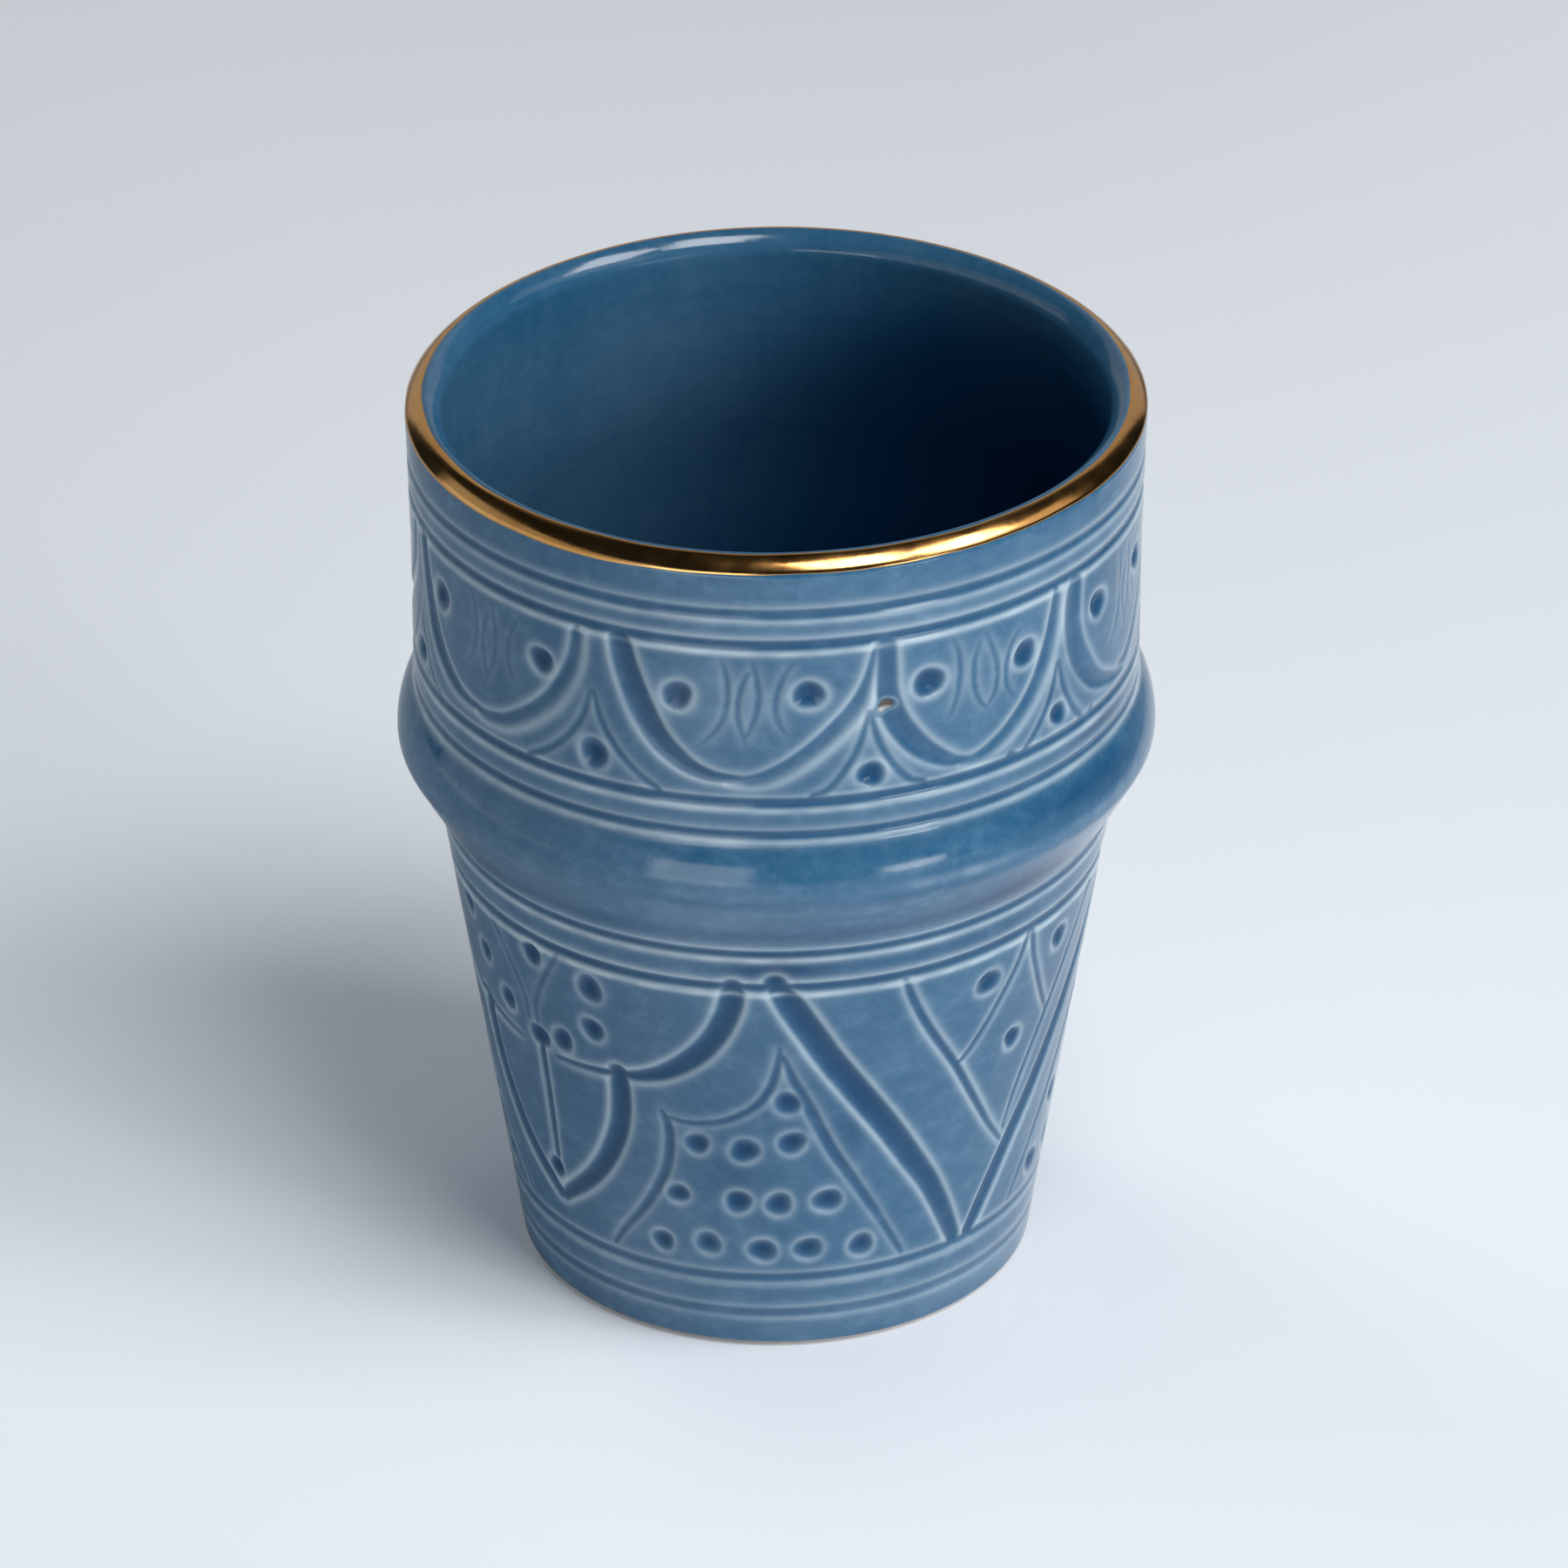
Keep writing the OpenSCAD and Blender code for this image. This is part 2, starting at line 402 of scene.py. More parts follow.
# Panel right of the front
NEXT_PANEL = [
    ([
        (17.0, 94.0, 1.35), (17.0, 91.0, 1.45), (17.2, 88.0, 1.5), (18.2, 85.2, 1.6), (20.0, 82.9, 1.6),
        (22.5, 80.7, 1.5), (25.5, 79.0, 1.2), (28.5, 77.9, 0.8), (31.0, 77.6, 0.45),
    ], 0.62, 0),
    ([
        (29.8, 77.4, 0.6), (32.0, 77.3, 0.8), (34.5, 77.7, 1.0), (38.0, 79.0, 1.15), (41.0, 80.7, 1.25),
        (43.8, 82.9, 1.3), (46.0, 85.5, 1.35), (47.5, 88.4, 1.3), (48.3, 91.4, 1.1), (48.7, 93.6, 0.9),
    ], 0.62, 1),
    ([
        (28.0, 92.7, 0.2), (28.8, 91.5, 0.34), (29.3, 89.5, 0.4), (29.2, 87.0, 0.4), (28.6, 85.0, 0.34),
        (27.4, 83.3, 0.2),
    ], 0.24, 0),
    ([
        (32.8, 91.4, 0.2), (31.9, 89.5, 0.36), (31.8, 87.5, 0.4), (32.2, 85.5, 0.38), (33.2, 84.0, 0.3),
        (34.2, 83.2, 0.2),
    ], 0.24, 0),
    ([
        (33.8, 92.4, 0.2), (35.0, 90.5, 0.36), (36.0, 88.5, 0.4), (36.3, 86.5, 0.4), (35.8, 84.8, 0.34),
        (34.4, 83.4, 0.2),
    ], 0.24, 0),
    ([
        (40.4, 91.4, 0.2), (39.0, 90.0, 0.34), (38.1, 88.0, 0.4), (37.8, 86.3, 0.38), (38.2, 84.8, 0.32),
        (39.3, 83.5, 0.2),
    ], 0.22, 0),
]
# Panel at the right, cut broad and shallow on its left
RIGHT_PANEL = [
    ([
        (53.0, 93.5, 1.4), (52.6, 91.0, 1.6), (52.8, 88.0, 1.65), (54.0, 85.0, 1.75), (56.3, 82.2, 1.7),
        (59.3, 79.8, 1.4), (63.0, 78.4, 1.0), (66.5, 77.7, 0.7), (70.0, 77.4, 0.45),
    ], 0.55, 0),
]
# Where whole panels and their blades are repeated: degrees to turn them by, and their stretch
LEFT_TURN, LEFT_STRETCH = -46.0, 1.05
RIGHT_TURN, RIGHT_STRETCH = 70.0 - PANEL_TIP, 0.86
# Pits of these three panels: degrees, level, radius and depth
FRONT_PITS = [
    (-64.3, 89.0, 1.75, 1.1), (-38.8, 88.5, 1.7, 1.15), (24.0, 88.4, 1.75, 1.15), (41.7, 88.1, 1.6, 1.1),
    (60.0, 88.8, 1.65, 1.1), (77.5, 88.6, 1.65, 1.1),
]
# Panels that follow round the back: degrees of the tip, and stretch
BACK_PANELS = ((107.5, 0.93), (147.0, 0.97), (186.5, 0.95), (225.0, 0.93), (263.0, 0.95))
# Tents: degrees and level of the apex, degrees of the two feet, level and radius of the pit
TENTS = [
    (-29.4, 86.6, -41.2, -18.6, 79.2, 1.75), (14.4, 86.0, 5.8, 23.0, 78.5, 1.65),
    (49.2, 85.0, 39.0, 58.2, 78.6, 1.45),
]
BACK_TENTS = [
    (deg, 86.0, deg - 9.5, deg + 9.0, 78.8, 1.55) for deg in (88.6, 127.5, 167.7, 206.6, 244.6, 285.0)
]


def carve_upper_band():
    panel(PANEL_TIP, 1.0)
    for points, depth, lean in LEFT_PANEL + NEXT_PANEL + RIGHT_PANEL:
        stroke(points, depth, UPPER_R, lean)
    stroke(moved(SCALLOP_RIGHT, RIGHT_TURN, RIGHT_STRETCH), SCALLOP_RIGHT_DEPTH, UPPER_R, 1)
    for blade in BLADES:
        stroke(moved(blade, LEFT_TURN, LEFT_STRETCH), FAINT_BLADE_DEPTH, UPPER_R)
        stroke(moved(blade, RIGHT_TURN, RIGHT_STRETCH), RIGHT_BLADE_DEPTH, UPPER_R)
    for deg, z, r, depth in FRONT_PITS:
        pit(deg, z, r, depth, UPPER_R)
    for tip, stretch in BACK_PANELS:
        panel(tip, stretch)
    for place in TENTS + BACK_TENTS:
        tent(*place)


# Lower band: pendants and chevrons in turn, with a field of pits between them

PENDANT_MID = -50.5
CHEVRON_MID = 42.8
BACK_STRETCH = 0.93
FIELD_PIT_DEPTH = 0.9
MIDDLE_PIT_DEPTH = 1.0
# Cuts less deep than this have edges of the first paleness, and the others of the second
SHALLOW_CUT = 0.5
SHALLOW_RIM = 0.7
DEEP_RIM = 0.88
PENDANT_HALF = [
    ([
        (-7.5, 50.4, 1.45), (-7.9, 48.3, 1.5), (-9.0, 46.1, 1.5), (-10.6, 44.0, 1.5), (-12.7, 42.0, 1.5),
        (-15.4, 40.2, 1.45), (-18.4, 38.7, 1.35), (-21.5, 37.5, 1.2), (-25.0, 36.6, 1.0),
        (-29.0, 36.0, 0.75), (-34.0, 35.6, 0.55), (-40.0, 35.2, 0.45), (-45.0, 35.0, 0.35),
    ], 0.95),
    ([
        (-30.4, 36.0, 1.4), (-30.4, 33.0, 1.48), (-31.0, 30.0, 1.5), (-32.2, 27.4, 1.5),
        (-34.4, 24.5, 1.48), (-37.2, 21.8, 1.42), (-40.4, 19.5, 1.35), (-44.0, 17.5, 1.25),
        (-47.5, 15.8, 1.1), (-49.8, 14.6, 0.9),
    ], 0.9),
    ([
        (-41.0, 50.0, 0.3), (-44.5, 46.5, 0.45), (-47.5, 43.3, 0.45), (-49.0, 41.0, 0.4),
        (-49.2, 38.5, 0.35),
    ], 0.22),
]
PENDANT_LINE = ([(-49.2, 35.5, 0.6), (-49.3, 30.0, 0.62), (-49.6, 25.0, 0.6), (-50.0, 20.0, 0.5)], 0.5)
PENDANT_PITS = [(-34.5, 47.0, 1.65), (-35.0, 41.3, 1.4), (-42.8, 38.0, 1.4)]
PENDANT_FAR_PITS = [(-29.5, 48.0, 1.3), (-34.6, 43.3, 1.3), (-41.9, 39.2, 1.3)]
PENDANT_MID_PITS = [(-47.8, 48.4, 1.4), (-49.2, 36.8, 1.55), (-51.0, 18.4, 1.4)]
FIELD_LINES = [
    ([
        (-22.0, 32.4, 0.3), (-21.0, 30.8, 0.6), (-20.7, 29.0, 0.72), (-21.0, 26.8, 0.74),
        (-21.8, 24.5, 0.74), (-23.4, 22.2, 0.74), (-25.8, 19.6, 0.7), (-28.4, 17.3, 0.65),
        (-31.0, 15.4, 0.58), (-33.8, 13.3, 0.5), (-36.0, 11.4, 0.42),
    ], 0.45),
    ([
        (0.6, 42.4, 0.25), (0.3, 40.0, 0.5), (-0.4, 38.0, 0.6), (-1.7, 36.0, 0.62), (-3.7, 34.3, 0.6),
        (-6.5, 33.0, 0.58), (-10.0, 31.9, 0.55), (-14.0, 31.3, 0.5), (-18.0, 31.2, 0.4), (-20.3, 31.5, 0.3),
    ], 0.45),
    ([
        (1.3, 41.1, 0.35), (3.0, 38.0, 0.6), (5.7, 34.4, 0.78), (8.4, 30.6, 0.8), (10.9, 27.4, 0.8),
        (13.7, 24.6, 0.76), (16.6, 21.7, 0.72), (19.6, 18.7, 0.66), (22.5, 15.8, 0.55), (25.4, 12.9, 0.5),
        (27.1, 11.2, 0.4),
    ], 0.42),
]
FIELD_PITS = [
    (2.2, 34.8, 1.5), (-15.2, 28.6, 1.4), (-6.0, 28.1, 1.5), (3.0, 29.2, 1.5), (-19.8, 21.1, 1.25),
    (-7.5, 20.8, 1.5), (0.5, 20.6, 1.45), (10.2, 20.8, 1.5), (-24.0, 13.9, 1.3), (-14.0, 14.6, 1.4),
    (-2.8, 14.0, 1.5), (6.6, 14.1, 1.5), (17.7, 13.8, 1.45),
]
CHEVRON_WIDE = ([
    (-0.2, 51.2, 1.35), (2.5, 48.2, 1.7), (5.4, 45.0, 1.75), (9.8, 40.3, 1.75), (15.6, 35.0, 1.75),
    (21.3, 30.0, 1.7), (26.7, 25.0, 1.65), (32.0, 20.2, 1.5), (36.8, 15.0, 1.4), (40.6, 10.6, 1.2),
], 1.0)
CHEVRON_THIN = [
    ([
        (22.8, 49.8, 0.45), (24.2, 47.4, 0.58), (26.2, 44.7, 0.62), (28.3, 42.3, 0.62), (30.6, 40.0, 0.62),
        (33.2, 37.6, 0.62), (35.4, 35.5, 0.62), (38.0, 32.8, 0.62), (40.6, 30.2, 0.6), (43.3, 27.6, 0.56),
        (46.2, 25.0, 0.5), (49.3, 22.7, 0.42), (51.0, 21.5, 0.3),
    ], 0.5),
    ([
        (49.9, 50.8, 0.5), (47.9, 47.0, 0.52), (46.0, 44.6, 0.5), (44.0, 42.6, 0.5), (42.0, 40.6, 0.5),
        (40.0, 38.9, 0.48), (38.0, 37.3, 0.45), (35.4, 35.7, 0.35),
    ], 0.4),
    ([
        (50.1, 50.8, 0.5), (51.7, 46.7, 0.52), (53.5, 44.0, 0.5), (55.6, 41.2, 0.5), (57.7, 38.8, 0.46),
        (60.2, 36.2, 0.35),
    ], 0.4),
    ([
        (51.0, 23.2, 0.3), (53.5, 28.0, 0.48), (57.0, 32.6, 0.52), (60.5, 36.6, 0.52), (65.5, 42.0, 0.52),
        (72.0, 49.2, 0.5),
    ], 0.45),
]
CHEVRON_PITS = [(40.5, 45.9, 1.6), (49.4, 36.0, 1.35), (60.3, 46.2, 1.4)]


def lower_run(place, pendant_pits):
    """Half a pendant, the field of pits and one arm of a chevron.

    place turns degrees of the front into those of this run.
    """
    for points, depth in PENDANT_HALF + FIELD_LINES + [CHEVRON_WIDE]:
        rim = SHALLOW_RIM if depth < SHALLOW_CUT else DEEP_RIM
        stroke([(place(deg), z, w) for deg, z, w in points], depth, LOWER_R, rim=rim)
    for deg, z, r in pendant_pits + FIELD_PITS:
        pit(place(deg), z, r + 0.1, FIELD_PIT_DEPTH, FOOT_R + LOW_SLOPE * z)


def carve_lower_band():
    lower_run(lambda deg: deg, PENDANT_PITS)
    lower_run(lambda deg: 2 * CHEVRON_MID - deg, PENDANT_FAR_PITS)
    far_pendant = 2 * CHEVRON_MID - PENDANT_MID
    lower_run(lambda deg: far_pendant + (deg - PENDANT_MID) * BACK_STRETCH, PENDANT_PITS)
    lower_run(lambda deg: PENDANT_MID - (deg - PENDANT_MID) * BACK_STRETCH, PENDANT_FAR_PITS)
    for turn in (0.0, far_pendant - PENDANT_MID):
        points, depth = PENDANT_LINE
        stroke([(deg + turn, z, w) for deg, z, w in points], depth, LOWER_R)
        for deg, z, r in PENDANT_MID_PITS:
            pit(deg + turn, z, r, MIDDLE_PIT_DEPTH, LOWER_R)
    for turn in (0.0, 180.0):
        for points, depth in CHEVRON_THIN:
            stroke([(deg + turn, z, w) for deg, z, w in points], depth, LOWER_R)
        for deg, z, r in CHEVRON_PITS:
            pit(deg + turn, z, r, MIDDLE_PIT_DEPTH, LOWER_R)


# Each turned line: level, half width, depth, and how far below it and how strongly the glaze is thin
TURNED_LINES = (
    (RIM_LINE_1, 0.74, 0.45, 1.0, 0.16), (RIM_LINE_2, 0.76, 0.55, 1.1, 0.5),
    (BELT_LINE_1, 0.74, 0.5, 1.05, 0.45), (BELT_LINE_2, 0.66, 0.5, 1.0, 0.3),
    (WAIST_LINE_1, 0.6, 0.5, 0.88, 0.42), (WAIST_LINE_2, 0.72, 0.6, 1.15, 0.7),
    (FOOT_LINE_1, 0.72, 0.36, 1.3, 0.28), (FOOT_LINE_2, 0.74, 0.3, 1.15, 0.04),
)


def turn_lines():
    for z, half, depth, _, _ in TURNED_LINES:
        line_round(z, half, depth)


def blurred(field, width):
    """The field spread over a width in millimetres."""
    result = field
    for axis, sigma in ((0, width / Z_STEP), (1, width / (DEG_STEP * math.radians(MIDDLE_R)))):
        reach = int(3 * sigma) + 1
        weights = np.exp(-0.5 * (np.arange(-reach, reach + 1) / sigma) ** 2)
        weights /= weights.sum()
        if axis == 0:
            wide = np.pad(result, ((reach, reach), (0, 0)), mode="edge")
            result = sum(w * wide[k:k + field.shape[0]] for k, w in enumerate(weights))
        else:
            wide = np.pad(result, ((0, 0), (reach, reach)), mode="wrap")
            result = sum(w * wide[:, k:k + field.shape[1]] for k, w in enumerate(weights))
    return result


def read(field, deg, z):
    """The field at degrees and levels, between its cells."""
    row = np.clip(z / Z_STEP, 0, field.shape[0] - 1.001)
    column = np.mod(deg, 360) / DEG_STEP
    i, j = row.astype(int), column.astype(int)
    u, v = row - i, column - j
    j0, j1 = j % field.shape[1], (j + 1) % field.shape[1]
    left = field[i, j0] * (1 - u) + field[i + 1, j0] * u
    right = field[i, j1] * (1 - u) + field[i + 1, j1] * u
    return left * (1 - v) + right * v


def near(value, middle, half):
    """1 at the middle, and little past the half width."""
    return np.exp(-(((value - middle) / half) ** 2))


turn_lines()
carve_upper_band()
carve_lower_band()
# The glaze half fills the cuts, thick in them and thin along their edges and on crests
surface = 0.44 * blurred(relief, 0.26) + 0.12 * blurred(relief, 0.55)
filled = relief - blurred(relief, 0.56)
thick_and_shaded = np.clip((0.62 * blurred(relief, 0.36) + 0.5 * filled) / 0.62, 0, 1) * (1 - blurred(broad, 0.25))
thin_and_sheen = blurred(np.clip(-filled / 0.21, 0, 1) * rims, 0.14) + 0.5 * crests * np.clip(1 - relief / 0.4, 0, 1)
level = np.arange(relief.shape[0])[:, None] * Z_STEP
round_it = np.arange(relief.shape[1])[None, :] * math.radians(DEG_STEP)
round_deg = np.degrees(round_it)


def patches(seed, slow, quick):
    """Smooth uneven values between 0 and 1 round the cup."""
    dice = np.random.default_rng(seed)
    total = np.zeros((1, relief.shape[1]))
    for waves in range(slow, quick):
        height = dice.normal() / math.sqrt(quick - slow)
        total = total + height * np.sin(waves * round_it + dice.uniform(0, 2 * math.pi))
    return np.clip(0.5 + 0.6 * total, 0, 1)


# Pale smears on the ridge of the belt, thin glaze all round and a painted sheen strongest at 29 degrees, and,
# broken, thin glaze below each turned line
BELT_RIDGE_Z = 65.0
smear_and_sheen = near(round_deg, 29.0, 9.0) + 0.25 * patches(40, 2, 14)
smear_and_sheen = smear_and_sheen * near(level, BELT_RIDGE_Z, 0.55) * (0.55 + 0.45 * patches(41, 20, 90))
thin_and_sheen = thin_and_sheen + 0.36 * smear_and_sheen
for k, (z, _, _, below, paleness) in enumerate(TURNED_LINES):
    broken = 0.4 + 0.6 * patches(60 + k, 4, 60)
    thin_and_sheen = thin_and_sheen + paleness * broken * near(level, z - below, 0.3)
# The glaze is less thin above the two lines over the belt and the first one under the lip
for z, over, less in ((RIM_LINE_1, 1.1, 0.25), (BELT_LINE_1, 1.3, 0.4), (BELT_LINE_2, 1.1, 0.45)):
    thin_and_sheen = thin_and_sheen * (1 - less * near(level, z + over, 0.38))
# Paler and darker patches: degrees and level of the middle, half widths, and how much paler it is
# or, below nought, how much darker; the darker ones round the belt on its right side are painted shade
CLOUDS_AND_SHADE = [
    (48, 101.0, 16, 1.4, 0.07), (45, 96.7, 26, 1.1, 0.055), (-20, 96.7, 8, 1.2, -0.35),
    (-55, 96.7, 18, 1.2, 0.03), (-13, 87.5, 5, 5.0, 0.08), (36, 82.0, 5, 2.0, 0.035),
    (45, 92.5, 4, 1.5, 0.075), (62, 92.0, 5, 3.0, -0.3), (20, 73.7, 9, 1.1, 0.03),
    (40, 73.7, 8, 1.1, -0.15), (62, 73.7, 10, 1.1, -0.9), (10, 80.2, 3, 1.6, -0.15),
    (49, 81.5, 3, 2.6, -0.3), (-58, 84.0, 7, 4.0, 0.03), (20, 69.5, 10, 0.8, 0.02),
    (20, 66.7, 6, 0.8, 0.08), (56, 68.2, 16, 1.0, -0.3), (-40, 57.0, 8, 0.8, 0.06),
    (45, 59.5, 12, 2.2, -0.8), (0, 53.3, 9, 1.5, -0.9), (34, 53.3, 24, 1.4, -0.4),
    (-9, 24.0, 6, 3.5, -0.45), (14, 30.0, 3, 3.5, -0.4), (0, 17.3, 6, 2.5, -0.15), (60, 41.0, 6, 4.0, -0.2),
    (42, 2.8, 28, 2.0, 0.07), (-45, 65.0, 16, 4.5, 0.045), (62, 64.6, 8, 0.7, 0.05),
    (-45, 87.0, 14, 8.0, 0.02), (-40, 60.5, 10, 3.5, 0.045), (10, 63.0, 14, 1.5, 0.025),
    (25, 5.0, 35, 4.0, 0.03), (36, 45.0, 5, 4.0, 0.03), (29, 31.0, 6, 6.0, 0.02),
    (0, 35.0, 400, 12.0, -0.12), (0, 5.0, 400, 3.0, 0.035), (0, 88.0, 400, 6.0, 0.015),
]
cloud_and_shade = np.zeros_like(relief)
for deg, z, half_deg, half_z, amount in CLOUDS_AND_SHADE:
    beside = np.mod(round_deg - deg + 180, 360) - 180
    cloud_and_shade += amount * near(beside, 0, half_deg) * near(level, z, half_z)
thin_and_sheen = np.clip(thin_and_sheen + np.maximum(cloud_and_shade, 0), 0, 1)
thick_and_shaded = thick_and_shaded + np.maximum(-cloud_and_shade, 0)
# Darker glaze in the corners under the belt and over it, partly thick glaze and partly painted shade of the
# creases, and on the right of its upper side painted shade
UNDER_BELT_Z = 58.4
OVER_BELT_Z = 69.9
BELT_TOP_Z = 67.6
thick_and_shaded = thick_and_shaded + 0.5 * near(level, UNDER_BELT_Z, 1.2) + 0.2 * near(level, OVER_BELT_Z, 1.0)
shaded_right_of_belt = np.exp(-(((round_deg - 56.0) / 17.0) ** 4))
thick_and_shaded = thick_and_shaded + 0.45 * near(level, BELT_TOP_Z, 1.7) * shaded_right_of_belt
thick_and_shaded = np.clip(thick_and_shaded, 0, 1)

# A burst bubble in the glaze, beside the panel right of the front: degrees and level
BUBBLE = (17.0, 86.3)
BUBBLE_DEPTH = 0.3


def bubble_distance(deg, z):
    """Distance from the middle of the bubble, 1 at its uneven edge."""
    x = (deg - BUBBLE[0]) * math.radians(UPPER_R)
    y = z - BUBBLE[1]
    turn = np.arctan2(y, x)
    return np.hypot(x, y * 1.15) / (0.9 + 0.15 * np.sin(2 * turn + 0.6) + 0.1 * np.sin(3 * turn + 2.0))


# Turned pieces
# Counts of faces round each piece are multiples of 2 to the power of DOUBLINGS

DOUBLINGS = 5
UPPER_COUNT = 1280
LOWER_COUNT = 1088
BELT_COUNT = 736
PLAIN_COUNT = 544
FOOT_COUNT = 352
# Spacing of the levels of each piece
UPPER_STEP = 0.14
LOWER_STEP = 0.17
FOOT_STEP = 0.3
LIP_STEP = 0.32
BELT_STEP = 0.36
# Levels at which the carved bands are divided into pieces
UPPER_SPLIT = 85.1
LOWER_SPLIT = 37.1
LOWER_END_SPLIT = 23.5


def turned_mesh(name, outline, count):
    """Turns a half section into a mesh: one wedge is spun and then doubled round the axis."""
    angle = 2 * math.pi / 2 ** DOUBLINGS
    bm = bmesh.new()
    chain = [bm.verts.new((0, r * MM, z * MM)) for r, z in outline]
    edges = [bm.edges.new(pair) for pair in zip(chain, chain[1:])]
    bmesh.ops.spin(
        bm, geom=chain + edges, cent=(0, 0, 0), axis=(0, 0, 1), dvec=(0, 0, 0), angle=angle,
        steps=count // 2 ** DOUBLINGS, use_merge=False, use_duplicate=False,
    )
    for k in range(DOUBLINGS):
        copy = bmesh.ops.duplicate(bm, geom=bm.verts[:] + bm.edges[:] + bm.faces[:])["geom"]
        verts = [item for item in copy if isinstance(item, bmesh.types.BMVert)]
        bmesh.ops.rotate(bm, verts=verts, cent=(0, 0, 0), matrix=Matrix.Rotation(angle * 2 ** k, 3, "Z"))
    bmesh.ops.remove_doubles(bm, verts=bm.verts, dist=1e-7)
    bmesh.ops.recalc_face_normals(bm, faces=bm.faces)
    mesh = bpy.data.meshes.new(name)
    bm.to_mesh(mesh)
    bm.free()
    mesh.polygons.foreach_set("use_smooth", [True] * len(mesh.polygons))
    return mesh


def points_of(mesh):
    """Degrees, radius and level of a mesh's points, in millimetres."""
    flat = np.zeros(len(mesh.vertices) * 3, np.float32)
    mesh.vertices.foreach_get("co", flat)
    xyz = flat.reshape(-1, 3).astype(float) / MM
    deg = np.degrees(np.arctan2(xyz[:, 0], -xyz[:, 1]))
    return deg, np.hypot(xyz[:, 0], xyz[:, 1]), xyz[:, 2]


def put_points(mesh, deg, r, z):
    turn = np.radians(deg)
    xyz = np.stack([r * np.sin(turn), -r * np.cos(turn), z], -1) * MM
    mesh.vertices.foreach_set("co", xyz.astype(np.float32).ravel())
    mesh.update()


# Up to the first level the cup is true, and its faults are whole this far above it
TRUE_Z = 1.5
FAULTS_RISE = 8
# Inside this radius the faults die away, so that the middle of the floor stays smooth
SMOOTH_R = 20
# The turned lines rise to the right by this share
LINES_RISE = 0.009


def by_hand(deg, r, z):
    """Small faults of a cup thrown by hand: its turned lines lean and it isn't quite round."""
    turn = np.radians(deg)
    part = np.clip((z - TRUE_Z) / FAULTS_RISE, 0, 1)
    part = part * part * (3 - 2 * part)
    lean = 0.05 * np.sin(2 * turn + 0.8) + 0.03 * np.sin(5 * turn + z * 0.05)
    round_off = 0.07 * np.cos(2 * turn - 0.9) + 0.04 * np.cos(3 * turn + 0.4 + z * 0.02)
    inward = np.clip(r / SMOOTH_R, 0, 1)
    return r + round_off * part * inward, z + (LINES_RISE * r * np.sin(turn) + lean * inward) * part


def placed(name, mesh):
    piece = bpy.data.objects.new(name, mesh)
    bpy.context.scene.collection.objects.link(piece)
    return piece


def set_shade(mesh, name, values):
    layer = mesh.attributes.new(name, "FLOAT", "POINT")
    layer.data.foreach_set("value", values.astype(np.float32))


# Sides of the inside with painted shade, on the right and at the back, and painted light, on the left:
# degrees of the middle, and half width
SHADED_RIGHT_INSIDE = (125, 48)
SHADED_BACK_INSIDE = (145, 70)
LIT_LEFT_INSIDE = (212, 42)
# Shares of painted shade darkening down the inside, of which it has at least the least, and of painted light
# on the left
LEAST_INNER_SHADE = 0.03
LEFT_PAINTED_LIGHT = 0.06


def below_lip(z, start, length):
    """0 down to a distance below the lip, and 1 after a length more."""
    return np.clip((LIP_Z - start - z) / length, 0, 1)


def inside_painted_light(deg, z):
    """Shares of painted light on the left, painted shade darkening down the wall and painted shade in a bluer
    colour on the right.
    """
    deg = np.mod(deg, 360)
    right_shade = near(deg, *SHADED_RIGHT_INSIDE)
    deep = LEAST_INNER_SHADE + (LIP_Z - 7 - z) / 55 * (0.8 + 1.15 * right_shade)
    deep = np.clip(deep, LEAST_INNER_SHADE, 1)
    thin_and_lit = LEFT_PAINTED_LIGHT * near(deg, *LIT_LEFT_INSIDE) * below_lip(z, 3, 6)
    shaded_bluer = np.clip(right_shade + 0.5 * deep * near(deg, *SHADED_BACK_INSIDE), 0, 1) * below_lip(z, 1.5, 6)
    return thin_and_lit, deep * (1 - 0.4 * below_lip(z, 48, 25)), shaded_bluer


def glazed_piece(name, outline, count, has_inside=False):
    """A turned length of the glaze with the carving cut into its outside."""
    mesh = turned_mesh(name, outline, count)
    deg, r, z = points_of(mesh)
    outside = (r > LIP_C) & (z < LIP_Z) if has_inside else r > outside_r(z) - 0.6
    pool_and_shade = read(thick_and_shaded, deg, z) * outside
    thin_and_lit = read(thin_and_sheen, deg, z) * outside
    burst = bubble_distance(deg, z)
    chip = np.clip((1.0 - burst) / 0.25, 0, 1) * outside
    ring = near(burst, 1.25, 0.28) * outside
    depth = read(surface, deg, z) * outside + BUBBLE_DEPTH * chip - 0.04 * thin_and_lit
    slope = (outside_r(z + 0.05) - outside_r(z - 0.05)) / 0.1
    tilt = np.sqrt(1 + slope ** 2)
    r, z = by_hand(deg, r - depth / tilt, z + depth * slope / tilt * outside)
    put_points(mesh, deg, r, z)
    # Painted light and shade of the inside: paler on the lit left, darker down the wall and bluer on the
    # shaded right
    inside_lit, inner_shade, shaded_bluer = inside_painted_light(deg, z)
    set_shade(mesh, "pool_and_shade", pool_and_shade)
    set_shade(mesh, "thin_and_lit", np.maximum(thin_and_lit * (1 - ring), 0.25 * ring) + inside_lit * ~outside)
    set_shade(mesh, "chip", chip)
    # The burst bubble's hollow is painted dark above and pale below: painted shade and painted light
    set_shade(mesh, "chip_lit_part", np.clip((BUBBLE[1] - 0.02 - z) / 0.3, 0, 1))
    set_shade(mesh, "inner_shade", inner_shade * ~outside)
    set_shade(mesh, "shaded_bluer", shaded_bluer * ~outside)
    return placed(name, mesh)


def side_outline(z):
    return list(zip(outside_r(z), z))


def upper_band(name, top, bottom):
    lines = (RIM_LINE_2, BELT_LINE_1)
    return glazed_piece(name, side_outline(levels(top, bottom, UPPER_STEP, lines)), UPPER_COUNT)


